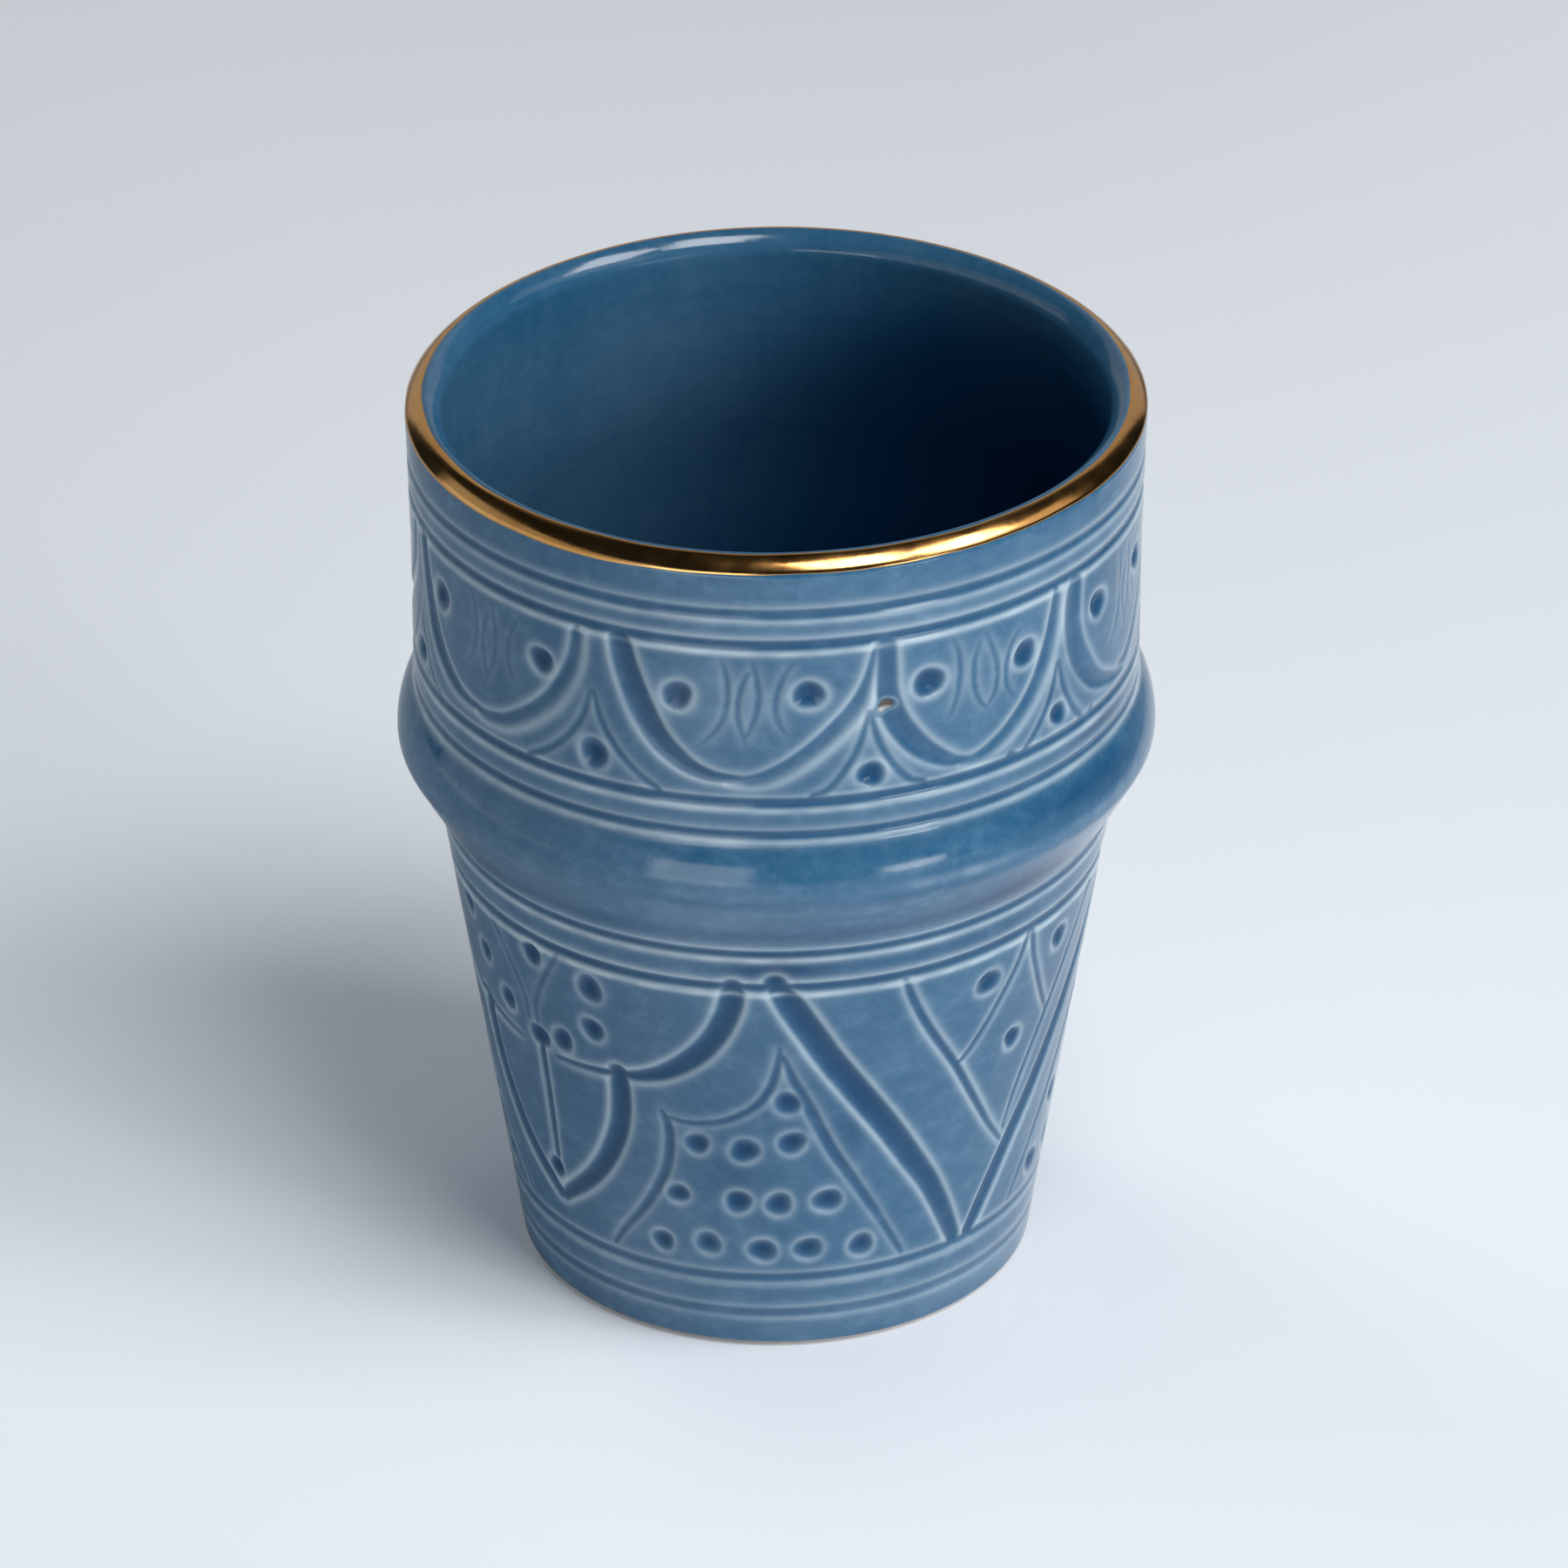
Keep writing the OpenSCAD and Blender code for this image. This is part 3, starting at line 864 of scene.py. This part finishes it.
def belt():
    lines = (BELT_LINE_1, BELT_LINE_2, WAIST_LINE_1, WAIST_LINE_2)
    return glazed_piece("belt", side_outline(levels(BELT_LINE_1, WAIST_LINE_2, BELT_STEP, lines)), BELT_COUNT)


def lower_band(name, top, bottom):
    lines = (WAIST_LINE_2, FOOT_LINE_1)
    return glazed_piece(name, side_outline(levels(top, bottom, LOWER_STEP, lines)), LOWER_COUNT)


def foot_band():
    """The glaze down to its rounded edge over the bare foot."""
    lines = (FOOT_LINE_1, FOOT_LINE_2)
    end_z = BARE_FOOT + 0.5
    z = levels(FOOT_LINE_1, end_z, FOOT_STEP, lines)
    end = float(outside_r(np.array([end_z]))[0])
    edge = [
        (end - 0.05, BARE_FOOT + 0.28), (end - 0.17, BARE_FOOT + 0.1), (end - 0.34, BARE_FOOT),
        (end - 0.6, BARE_FOOT - 0.02),
    ]
    return glazed_piece("foot_band", side_outline(z) + edge, PLAIN_COUNT)


def lip_and_inside():
    lines = (RIM_LINE_1, RIM_LINE_2)
    outline = side_outline(levels(LIP_FOOT_Z - 0.15, RIM_LINE_2, LIP_STEP, lines)[::-1])
    curve = lip_curve()
    for length in np.linspace(0, curve[-1, 0], 24):
        outline.append(tuple(float(np.interp(length, curve[:, 0], curve[:, k])) for k in (1, 2)))
    outline += inner_lip(*outline[-1])
    return glazed_piece("lip_and_inside", outline + inside_outline(*outline[-1]), PLAIN_COUNT, True)


# Where the gold ends on the outside: degrees round the cup, and millimetres up or down along the lip
GOLD_LOW_EDGE = [
    (-180, -0.1), (-90, -0.3), (-65, -0.55), (-45, -0.52), (-28, -0.42), (-12, -0.2), (10, -0.08),
    (35, -0.1), (50, -0.2), (90, -0.35), (130, -0.3), (180, -0.1),
]
# Depth to which the edge of the gold sinks into the glaze, and the share of its width that thins out
GOLD_SINKS = 0.03
GOLD_THINS = 0.1


def gold_lip():
    """Gold brushed over the slanted outside of the lip, with edges that waver."""
    curve = lip_curve()
    slant_ends = [end for end, _ in LIP_TURNS[:2]]
    slant = [float(np.interp(turn, curve[:, 3], curve[:, 0])) for turn in slant_ends]
    # A plain strip is turned first, on which the angle runs from 0 at its low edge to 1 at its high one
    outline = [(LIP_C + 2 * math.cos(a), LIP_Z + 2 * math.sin(a)) for a in np.linspace(0, 1, 15)]
    mesh = turned_mesh("gold_band", outline, BELT_COUNT)
    deg, r, z = points_of(mesh)
    share = np.arctan2(z - LIP_Z, r - LIP_C)
    turn = np.radians(deg)
    low = slant[0] + np.interp(deg, *zip(*GOLD_LOW_EDGE))
    low = low + 0.035 * np.sin(7 * turn + 2.0) + 0.03 * np.sin(16 * turn + 1.0) + 0.02 * np.sin(31 * turn)
    high = slant[1] + 0.06 * np.sin(2 * turn + 1.9) + 0.04 * np.sin(9 * turn + 0.3) + 0.03 * np.sin(21 * turn)
    length = low + (high - low) * share
    r, z, tilt = (np.interp(length, curve[:, 0], curve[:, k]) for k in (1, 2, 3))
    raised = GOLD_T * np.clip(np.minimum(share, 1 - share) / GOLD_THINS, 0, 1) ** 0.6 - GOLD_SINKS
    r, z = by_hand(deg, r + raised * np.cos(np.radians(tilt)), z + raised * np.sin(np.radians(tilt)))
    put_points(mesh, deg, r, z)
    return placed("gold_band", mesh)


def bare_foot():
    """Unglazed clay of the ring that the cup stands on and of the hollow under it."""
    out = FOOT_R - GLAZE_T
    ring_in = out - FOOT_RING_W
    outline = [
        (out + 0.12, BARE_FOOT + 0.1), (out + 0.05, 0.4), (out - 0.12, 0.16), (out - 0.4, 0.03),
        (out - 0.7, 0.0), (ring_in + 0.7, 0.0), (ring_in + 0.35, 0.06), (ring_in + 0.1, 0.28), (ring_in, 0.6),
        (ring_in, FOOT_HOLLOW - 0.8), (ring_in - 0.2, FOOT_HOLLOW - 0.3), (ring_in - 0.8, FOOT_HOLLOW),
    ]
    outline += [(r, FOOT_HOLLOW + 0.06 * math.cos(r * 1.7)) for r in np.linspace(ring_in - 1.6, 0, 24)]
    return placed("bare_foot", turned_mesh("bare_foot", outline, FOOT_COUNT))


# Finishes

BLUE = (0.021, 0.096, 0.185)
BLUE_PALE = (0.048, 0.134, 0.232)
BLUE_MIST = (0.085, 0.185, 0.29)
BLUE_DEEP = (0.009, 0.072, 0.158)
# Thick glaze in the cuts, also used as painted shade in the creases and patches round the belt
BLUE_POOL_AND_SHADE = (0.006, 0.044, 0.112)
BLUE_EDGE = (0.4, 0.5, 0.56)
# Painted shade of the inside: darker down its wall, and bluer on its shaded right
BLUE_INSIDE_SHADE = (0.0006, 0.016, 0.054)
BLUE_RIGHT_INSIDE_SHADE = (0.002, 0.054, 0.165)
# Burst bubble: painted shade in the upper part of its hollow and painted light in the lower part, over its
# grain
CHIP_SHADED = (0.045, 0.04, 0.038)
CHIP_LIT = (0.4, 0.41, 0.42)
CHIP_GRAIN = (0.16, 0.14, 0.13)
GOLD = (0.82, 0.395, 0.115)
GOLD_BRIGHT = (0.93, 0.53, 0.195)
GOLD_WORN = (0.62, 0.27, 0.065)
CLAY = (0.46, 0.39, 0.32)
CLAY_PALE = (0.56, 0.48, 0.4)
CLAY_GRAIN = (0.4, 0.32, 0.25)
EVEN = (1, 1, 1)


def new_finish(name):
    """A material with its node tree and its shader."""
    material = bpy.data.materials.new(name)
    material.use_nodes = True
    return material, material.node_tree, material.node_tree.nodes["Principled BSDF"]


def feed(tree, value, socket):
    """Gives a socket a number, a colour or what another socket puts out."""
    if isinstance(value, bpy.types.NodeSocket):
        tree.links.new(value, socket)
    else:
        socket.default_value = (*value, 1) if isinstance(value, tuple) else value


def shade_layer(tree, name):
    node = tree.nodes.new("ShaderNodeAttribute")
    node.attribute_name = name
    return node.outputs["Fac"]


def noise(tree, stretch, scale, detail, rough=0.55):
    """Noise on the piece's own coordinates."""
    place = tree.nodes.new("ShaderNodeTexCoord")
    mapping = tree.nodes.new("ShaderNodeMapping")
    mapping.inputs["Scale"].default_value = stretch
    texture = tree.nodes.new("ShaderNodeTexNoise")
    texture.inputs["Scale"].default_value = scale
    texture.inputs["Detail"].default_value = detail
    texture.inputs["Roughness"].default_value = rough
    tree.links.new(place.outputs["Object"], mapping.inputs["Vector"])
    tree.links.new(mapping.outputs["Vector"], texture.inputs["Vector"])
    return texture.outputs["Fac"]


def range_of(tree, value, low, high, from_low=0.3, from_high=0.7):
    """Turns the range from_low to from_high of a value into low to high."""
    node = tree.nodes.new("ShaderNodeMapRange")
    node.inputs["From Min"].default_value = from_low
    node.inputs["From Max"].default_value = from_high
    node.inputs["To Min"].default_value = low
    node.inputs["To Max"].default_value = high
    tree.links.new(value, node.inputs["Value"])
    return node.outputs["Result"]


def mixed(tree, share, first, second):
    """Colour mix. first and second are colours or sockets."""
    node = tree.nodes.new("ShaderNodeMix")
    node.data_type = "RGBA"
    # Of a mix node's sockets, 0 is the share, 6 and 7 are its colours, and 2 is the colour put out
    feed(tree, share, node.inputs[0])
    feed(tree, first, node.inputs[6])
    feed(tree, second, node.inputs[7])
    return node.outputs[2]


def maths(tree, operation, a, b):
    node = tree.nodes.new("ShaderNodeMath")
    node.operation = operation
    feed(tree, a, node.inputs[0])
    feed(tree, b, node.inputs[1])
    return node.outputs[0]


def product(tree, a, b):
    return maths(tree, "MULTIPLY", a, b)


def larger(tree, a, b):
    return maths(tree, "MAXIMUM", a, b)


def roughen(tree, shader, height, strength, distance):
    """Fine unevenness of a surface."""
    bump = tree.nodes.new("ShaderNodeBump")
    bump.inputs["Strength"].default_value = strength
    bump.inputs["Distance"].default_value = distance
    tree.links.new(height, bump.inputs["Height"])
    tree.links.new(bump.outputs["Normal"], shader.inputs["Normal"])


def blue_glaze():
    material, tree, shader = new_finish("blue_glaze")
    brushed = noise(tree, (40, 40, 420), 1.0, 5.0)
    runs = noise(tree, (330, 330, 45), 1.0, 4.0)
    cloudy = noise(tree, EVEN, 70.0, 3.0)
    fine = noise(tree, EVEN, 900.0, 3.0)
    mottled = noise(tree, (1, 1, 1.4), 360.0, 5.0, 0.62)
    inner_shade = shade_layer(tree, "inner_shade")
    pool_and_shade = shade_layer(tree, "pool_and_shade")
    body = mixed(tree, range_of(tree, cloudy, 0.0, 1.0), BLUE, BLUE_PALE)
    body = mixed(tree, range_of(tree, brushed, 0.0, 0.6), body, BLUE_DEEP)
    body = mixed(tree, range_of(tree, runs, 0.0, 0.45), body, BLUE_DEEP)
    # Mottling, which is fainter inside
    outer = range_of(tree, inner_shade, 1.0, 0.15, 0.0, LEAST_INNER_SHADE)
    misty = product(tree, range_of(tree, mottled, 0.0, 0.5, 0.5, 0.72), outer)
    deep = product(tree, range_of(tree, mottled, 0.5, 0.0, 0.28, 0.5), outer)
    body = mixed(tree, misty, body, BLUE_MIST)
    body = mixed(tree, deep, body, BLUE_DEEP)
    body = mixed(tree, range_of(tree, fine, 0.0, 0.35), body, BLUE_PALE)
    # Thick glaze in the cuts with painted shade in creases, pale thin glaze with a painted sheen, painted
    # shade of the inside, and the burst bubble with painted shade and light
    body = mixed(tree, product(tree, pool_and_shade, 0.92), body, BLUE_POOL_AND_SHADE)
    pale = product(tree, shade_layer(tree, "thin_and_lit"), range_of(tree, cloudy, 0.6, 1.0))
    body = mixed(tree, pale, body, BLUE_EDGE)
    # Painted shade of the inside: bluer on the right, and darker down the wall
    body = mixed(tree, product(tree, shade_layer(tree, "shaded_bluer"), 0.85), body, BLUE_RIGHT_INSIDE_SHADE)
    body = mixed(tree, inner_shade, body, mixed(tree, 0.95, body, BLUE_INSIDE_SHADE))
    # Burst bubble: its upper part painted dark, painted shade, and its lower part pale, painted light
    chip_colour = mixed(tree, shade_layer(tree, "chip_lit_part"), CHIP_SHADED, CHIP_LIT)
    chip_colour = mixed(tree, range_of(tree, fine, 0.0, 0.4), chip_colour, CHIP_GRAIN)
    body = mixed(tree, shade_layer(tree, "chip"), body, chip_colour)
    feed(tree, body, shader.inputs["Base Color"])
    feed(tree, range_of(tree, fine, 0.10, 0.18), shader.inputs["Roughness"])
    shader.inputs["IOR"].default_value = 1.6
    # Less reflection where the glaze is thick and in the shaded creases: painted shade of reflections that
    # the walls of cuts would block
    gloss = range_of(tree, pool_and_shade, 0.5, 0.15, 0.0, 1.0)
    # Less reflection deep inside: painted shade of reflections
    gloss = product(tree, gloss, range_of(tree, inner_shade, 1.0, 0.4, 0.05, 0.4))
    feed(tree, gloss, shader.inputs["Specular IOR Level"])
    roughen(tree, shader, noise(tree, EVEN, 420.0, 3.0), 0.06, 0.0004)
    return material


def gold_lustre():
    material, tree, shader = new_finish("gold_lustre")
    shader.inputs["Metallic"].default_value = 1.0
    streak = noise(tree, (60, 60, 900), 1.0, 4.0)
    worn = noise(tree, EVEN, 260.0, 4.0)
    colour = mixed(tree, range_of(tree, streak, 0.0, 1.0), GOLD, GOLD_BRIGHT)
    colour = mixed(tree, range_of(tree, worn, 0.0, 0.5, 0.55, 0.8), colour, GOLD_WORN)
    feed(tree, colour, shader.inputs["Base Color"])
    feed(tree, range_of(tree, worn, 0.12, 0.22), shader.inputs["Roughness"])
    roughen(tree, shader, worn, 0.08, 0.0003)
    return material


def fired_clay():
    material, tree, shader = new_finish("fired_clay")
    grain = noise(tree, EVEN, 1500.0, 5.0)
    patchy = noise(tree, EVEN, 120.0, 4.0)
    colour = mixed(tree, range_of(tree, patchy, 0.0, 1.0), CLAY, CLAY_PALE)
    colour = mixed(tree, range_of(tree, grain, 0.0, 0.5, 0.5, 0.75), colour, CLAY_GRAIN)
    feed(tree, colour, shader.inputs["Base Color"])
    feed(tree, range_of(tree, grain, 0.72, 0.92), shader.inputs["Roughness"])
    roughen(tree, shader, grain, 0.4, 0.0002)
    return material


glaze = blue_glaze()
glazed = [
    lip_and_inside(),
    upper_band("upper_band_top", RIM_LINE_2, UPPER_SPLIT),
    upper_band("upper_band_end", UPPER_SPLIT, BELT_LINE_1),
    belt(),
    lower_band("lower_band_top", WAIST_LINE_2, LOWER_SPLIT),
    lower_band("lower_band_middle", LOWER_SPLIT, LOWER_END_SPLIT),
    lower_band("lower_band_end", LOWER_END_SPLIT, FOOT_LINE_1),
    foot_band(),
]
for piece in glazed:
    piece.data.materials.append(glaze)
    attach(piece, "root")
    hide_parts("glaze_coat")

gold = gold_lip()
gold.data.materials.append(gold_lustre())
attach(gold, "root")
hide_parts("gold_lip")

foot = bare_foot()
foot.data.materials.append(fired_clay())
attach(foot, "root")
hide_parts("clay_body")


# Floor, light and camera, in metres

FLOOR_SIZE = 4.0
# Pale paper of the floor, with painted shade towards the back, to the right and, seen in gloss, far away
PAPER = (0.85, 0.90, 0.965)
PAPER_BACK_SHADE = (0.77, 0.81, 0.86)
PAPER_RIGHT_SHADE = (0.815, 0.86, 0.92)
PAPER_GLOSS_SHADE = (0.1, 0.11, 0.12)


def towards(tree, place, turn):
    """How nearly a point of the floor lies in a direction, in degrees to the right of the camera."""
    turn = math.radians(turn)
    flat = tree.nodes.new("ShaderNodeVectorMath")
    flat.operation = "NORMALIZE"
    tree.links.new(place, flat.inputs[0])
    facing = tree.nodes.new("ShaderNodeVectorMath")
    facing.operation = "DOT_PRODUCT"
    facing.inputs[1].default_value = (math.sin(turn), -math.cos(turn), 0)
    tree.links.new(flat.outputs[0], facing.inputs[0])
    return facing.outputs["Value"]


def pale_floor():
    bm = bmesh.new()
    bmesh.ops.create_grid(bm, x_segments=1, y_segments=1, size=FLOOR_SIZE)
    mesh = bpy.data.meshes.new("pale_floor")
    bm.to_mesh(mesh)
    bm.free()
    floor = placed("pale_floor", mesh)
    material, tree, shader = new_finish("pale_paper_painted_shade")
    place = tree.nodes.new("ShaderNodeTexCoord").outputs["Object"]
    away = tree.nodes.new("ShaderNodeVectorMath")
    away.operation = "LENGTH"
    tree.links.new(place, away.inputs[0])
    across = tree.nodes.new("ShaderNodeSeparateXYZ")
    tree.links.new(place, across.inputs[0])
    in_gloss = tree.nodes.new("ShaderNodeLightPath").outputs["Is Glossy Ray"]
    # Painted shade seen only in reflections: in gloss the floor is darker far away, past its right edge and
    # to the left
    far = range_of(tree, away.outputs["Value"], 0.0, 0.8, 0.15, 0.8)
    far = product(tree, far, range_of(tree, towards(tree, place, -21), 1.0, 0.05, 0.9, 0.97))
    edge = range_of(tree, across.outputs["X"], 0.0, 0.8, 0.15, 0.21)
    left = range_of(tree, towards(tree, place, -105), 0.0, 0.55, 0.3, 0.8)
    gloss_shade = product(tree, larger(tree, larger(tree, far, edge), left), in_gloss)
    # Painted shade: the paper is darker towards the back and to the right, as the light falls off
    shaded_paper = mixed(tree, range_of(tree, across.outputs["Y"], 0.0, 1.0, 0.05, 0.32), PAPER, PAPER_BACK_SHADE)
    shaded_paper = mixed(tree, range_of(tree, across.outputs["X"], 0.0, 1.0, 0.03, 0.11), shaded_paper, PAPER_RIGHT_SHADE)
    feed(tree, mixed(tree, gloss_shade, shaded_paper, PAPER_GLOSS_SHADE), shader.inputs["Base Color"])
    shader.inputs["Roughness"].default_value = 0.9
    mesh.materials.append(material)


# Colours of the lamps, and the level of the cup at which they are aimed
PLAIN = (1.0, 1.0, 1.0)
COOL = (0.97, 0.99, 1.0)
WARM = (1.0, 0.99, 0.98)
WARM_BACK = (1.0, 0.99, 0.97)
AIM_Z = 0.05


def softbox(name, turn, rise, distance, width, height, power, colour, mirrored=True, lights=True):
    """Flat lamp aimed at the cup. turn is degrees to the right of the camera, rise degrees above the table.

    mirrored lamps show in gloss, and lights ones light matt surfaces.
    """
    light = bpy.data.lights.new(name, "AREA")
    light.shape = "RECTANGLE"
    light.size = width
    light.size_y = height
    light.energy = power
    light.color = colour
    turn, rise = math.radians(turn), math.radians(rise)
    away = Vector((math.sin(turn) * math.cos(rise), -math.cos(turn) * math.cos(rise), math.sin(rise)))
    lamp = bpy.data.objects.new(name, light)
    lamp.location = away * distance + Vector((0, 0, AIM_Z))
    lamp.rotation_mode = "QUATERNION"
    lamp.rotation_quaternion = (-away).to_track_quat("-Z", "Y")
    lamp.visible_glossy = mirrored
    lamp.visible_diffuse = lights
    lamp.visible_camera = False
    bpy.context.scene.collection.objects.link(lamp)


def dim_studio():
    """Even dim light all round. Polished surfaces see a darker room than matt ones."""
    world = bpy.data.worlds.new("studio")
    bpy.context.scene.world = world
    world.use_nodes = True
    tree = world.node_tree
    room = tree.nodes["Background"]
    room.inputs["Color"].default_value = (0.7, 0.9, 1.1, 1)
    in_gloss = tree.nodes.new("ShaderNodeLightPath").outputs["Is Glossy Ray"]
    feed(tree, range_of(tree, in_gloss, 0.02, 0.012, 0.0, 1.0), room.inputs["Strength"])


pale_floor()
dim_studio()
softbox("overhead", 180, 85, 1.1, 0.5, 0.5, 0.9, COOL, mirrored=False)
softbox("high_front", 30, 62, 1.1, 0.36, 0.42, 3.7, WARM)
softbox("high_right", 71, 51, 1.1, 0.38, 0.38, 3.2, WARM)
softbox("mid_right", 60, 26, 1.1, 0.56, 0.3, 4.6, PLAIN, mirrored=False)
softbox("low_right", 38, 12, 1.1, 0.56, 0.32, 4.4, PLAIN, mirrored=False)
softbox("low_left", -120, 6, 1.1, 0.8, 0.2, 5.0, COOL, mirrored=False)
softbox("back_left", -140, 45, 1.1, 0.36, 0.36, 1.2, COOL, mirrored=False)
softbox("back_right", 145, 45, 1.1, 0.36, 0.36, 0.6, COOL, mirrored=False)
softbox("right_window", 39, 2.5, 1.1, 0.33, 0.13, 0.75, WARM)
softbox("left_window", -21, 5, 0.5, 0.25, 0.2, 0.3, COOL)
softbox("right_card", 74, 36, 1.1, 1.1, 0.36, 0.8, WARM, lights=False)
softbox("left_card", -72, 9, 0.42, 0.75, 0.22, 0.26, COOL, lights=False)
softbox("left_card_top", -72, 31, 0.44, 0.75, 0.16, 0.12, COOL, lights=False)
softbox("back_card", 180, 22, 1.3, 2.0, 1.25, 2.75, WARM_BACK, lights=False)
softbox("back_card_top", 180, 60, 1.3, 1.6, 0.6, 0.2, WARM_BACK, lights=False)

# Camera of the photo, in metres and radians
CAMERA_PLACE = (0, -1.0033, 0.6244)
CAMERA_DOWN = 0.5159
CAMERA_RIGHT = 0.000875


def photo_view():
    lens = bpy.data.cameras.new("photo_view")
    lens.sensor_width = 36
    lens.lens = 240
    lens.clip_start = 0.05
    lens.clip_end = 20
    camera = bpy.data.objects.new("photo_view", lens)
    ahead, aside = math.cos(CAMERA_RIGHT), math.sin(CAMERA_RIGHT)
    level_part = math.cos(CAMERA_DOWN)
    look = Vector((aside * level_part, ahead * level_part, -math.sin(CAMERA_DOWN)))
    right = Vector((ahead, -aside, 0))
    above = right.cross(look)
    camera.matrix_world = Matrix((right, above, -look)).transposed().to_4x4()
    camera.location = CAMERA_PLACE
    bpy.context.scene.collection.objects.link(camera)
    bpy.context.scene.camera = camera


photo_view()
bpy.context.scene.view_settings.view_transform = "Standard"
